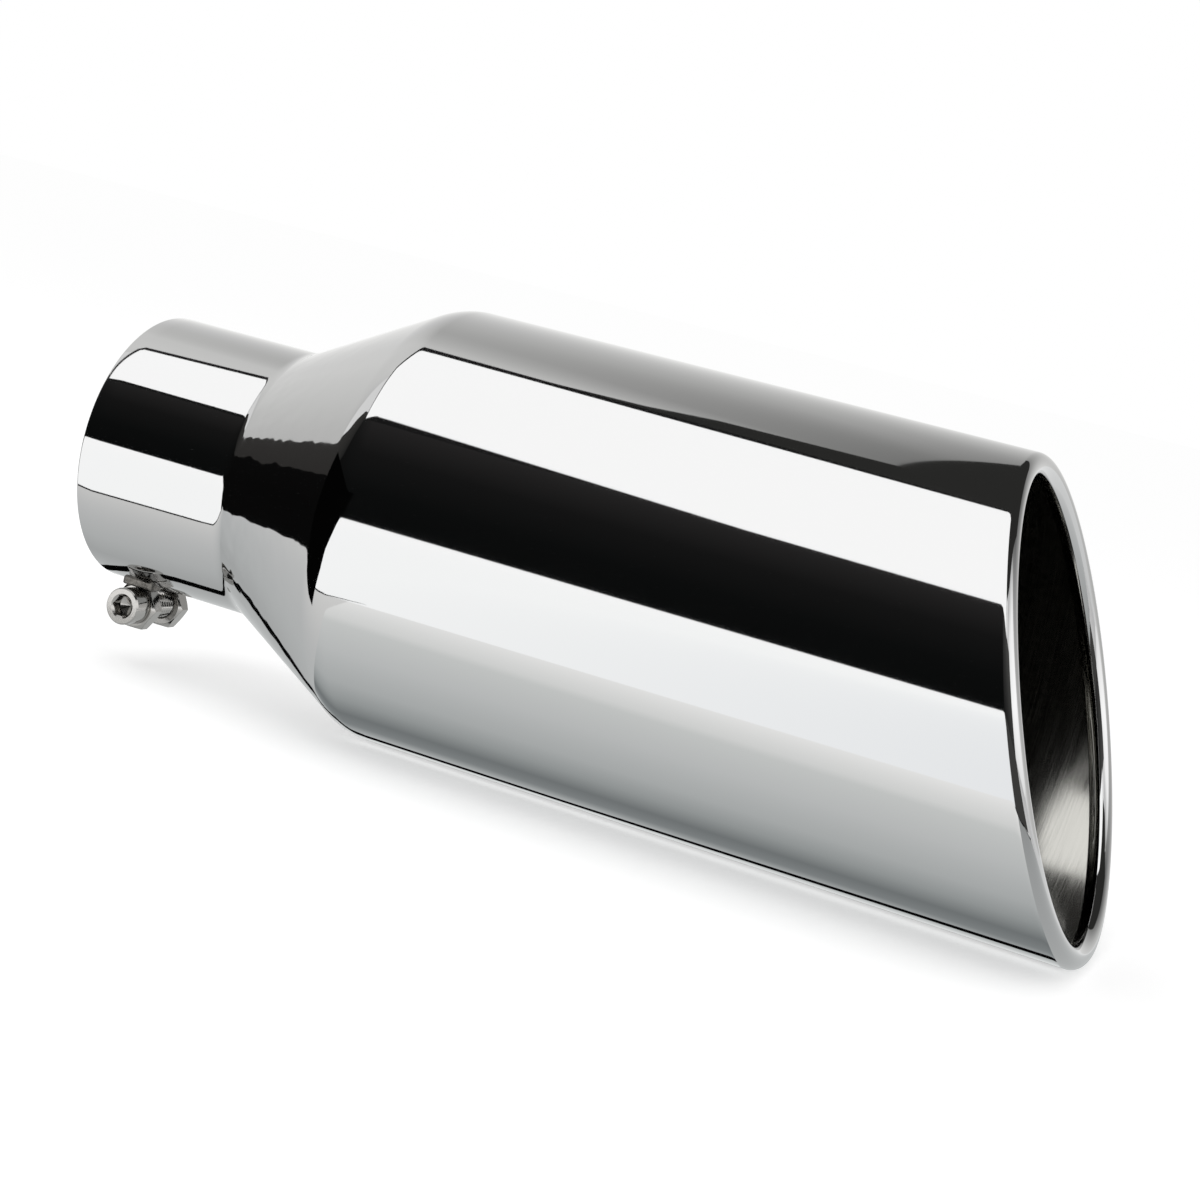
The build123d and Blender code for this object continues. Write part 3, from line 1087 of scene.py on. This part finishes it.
    def make_floor(self, studio, colour):
        """A matt white floor that keeps the object's shadow; part of its brightness is its own
        for the camera and in reflections, so that it meets the white background unseen.
        """
        own_to_camera, own_in_metal = 0.5, 0.2
        material, tree, output = new_material("matt_white_floor")
        path = add_node(tree, "ShaderNodeLightPath")
        own = add_node(
            tree,
            "ShaderNodeMath",
            {"operation": "MULTIPLY"},
            value=path.outputs["Is Camera Ray"],
            value1=own_to_camera,
        )
        seen = add_node(
            tree,
            "ShaderNodeMath",
            {"operation": "MULTIPLY_ADD"},
            value=path.outputs["Is Glossy Ray"],
            value1=own_in_metal,
            value2=own.outputs[0],
        )
        matt = add_node(tree, "ShaderNodeBsdfDiffuse", color=(*colour, 1.0))
        glow = add_node(tree, "ShaderNodeEmission", color=(1, 1, 1, 1), strength=seen.outputs[0])
        both = add_node(tree, "ShaderNodeAddShader", shader=matt.outputs[0], shader1=glow.outputs[0])
        tree.links.new(both.outputs[0], output.inputs["Surface"])
        half = studio.floor_size / 2
        height = cad_box[0].z
        corners = [(x * half, y * half, height) for x, y in ((-1, -1), (1, -1), (1, 1), (-1, 1))]
        self.card("studio_floor", corners, material)

    def make_room(self, studio):
        """The room: white to the camera and in reflections, a softer light on matt surfaces."""
        world = bpy.data.worlds.new("white_room")
        bpy.context.scene.world = world
        world.use_nodes = True
        tree = world.node_tree
        tree.nodes.clear()
        path = add_node(tree, "ShaderNodeLightPath")
        seen = add_node(
            tree,
            "ShaderNodeMath",
            {"operation": "MAXIMUM"},
            value=path.outputs["Is Camera Ray"],
            value1=path.outputs["Is Glossy Ray"],
        )
        seen = add_node(
            tree,
            "ShaderNodeMath",
            {"operation": "MAXIMUM"},
            value=seen.outputs[0],
            value1=path.outputs["Is Transmission Ray"],
        )
        level = add_node(
            tree,
            "ShaderNodeMapRange",
            value=seen.outputs[0],
            to_min=studio.fill_level,
            to_max=1.0,
        )
        background = add_node(tree, "ShaderNodeBackground", color=(1, 1, 1, 1), strength=level.outputs[0])
        output = add_node(tree, "ShaderNodeOutputWorld")
        tree.links.new(background.outputs[0], output.inputs["Surface"])

    def make_camera(self, studio):
        """A camera at its stand, turned by heading, tilt and roll."""
        data = bpy.data.cameras.new("studio_camera")
        camera = bpy.data.objects.new("studio_camera", data)
        bpy.context.scene.collection.objects.link(camera)
        data.sensor_width = 36.0
        data.lens = studio.focal
        data.clip_end = 200.0
        heading = Matrix.Rotation(studio.azimuth, 4, "Z")
        tilt = Matrix.Rotation(pi / 2 - studio.elevation, 4, "X")
        roll = Matrix.Rotation(studio.roll, 4, "Z")
        camera.matrix_world = Matrix.Translation(studio.stand) @ heading @ tilt @ roll
        bpy.context.scene.camera = camera

    def execute(self, context):
        studio = context.scene.exhaust_tip_studio
        context.scene.view_settings.view_transform = "Standard"
        self.make_room(studio)
        self.make_floor(studio, context.scene.exhaust_tip_finishes.floor)
        self.make_screens(studio)
        self.make_ceiling(studio)
        self.make_sheets()
        self.make_camera(studio)
        return {"FINISHED"}


class TIP_PT_panel(bpy.types.Panel):
    """The exhaust tip's sizes and build steps"""

    bl_idname = "TIP_PT_panel"
    bl_label = "Exhaust tip"
    bl_space_type = "VIEW_3D"
    bl_region_type = "UI"
    bl_category = "Exhaust tip"

    def draw(self, context):
        for operator in operators:
            self.layout.operator(operator.bl_idname)
        for holder, kind in groups.items():
            box = self.layout.box()
            box.label(text=kind.__doc__)
            for name in kind.__annotations__:
                box.prop(getattr(context.scene, holder), name)


groups = {
    "exhaust_tip_shell": ShellSizes,
    "exhaust_tip_clamp": ClampSizes,
    "exhaust_tip_finishes": Finishes,
    "exhaust_tip_studio": Studio,
}
operators = (TIP_OT_shell, TIP_OT_nuts, TIP_OT_screw, TIP_OT_welds, TIP_OT_stage)


def register():
    """Registers the classes and the scene's groups of sizes."""
    for item in (*groups.values(), *operators, TIP_PT_panel):
        bpy.utils.register_class(item)
    for holder, kind in groups.items():
        setattr(bpy.types.Scene, holder, PointerProperty(type=kind))


def unregister():
    """Takes back what register added."""
    for holder in groups:
        delattr(bpy.types.Scene, holder)
    for item in reversed((*groups.values(), *operators, TIP_PT_panel)):
        bpy.utils.unregister_class(item)


def main():
    register()
    for operator in operators:
        group, name = operator.bl_idname.split(".")
        getattr(getattr(bpy.ops, group), name)()


if __name__ == "__main__":
    main()
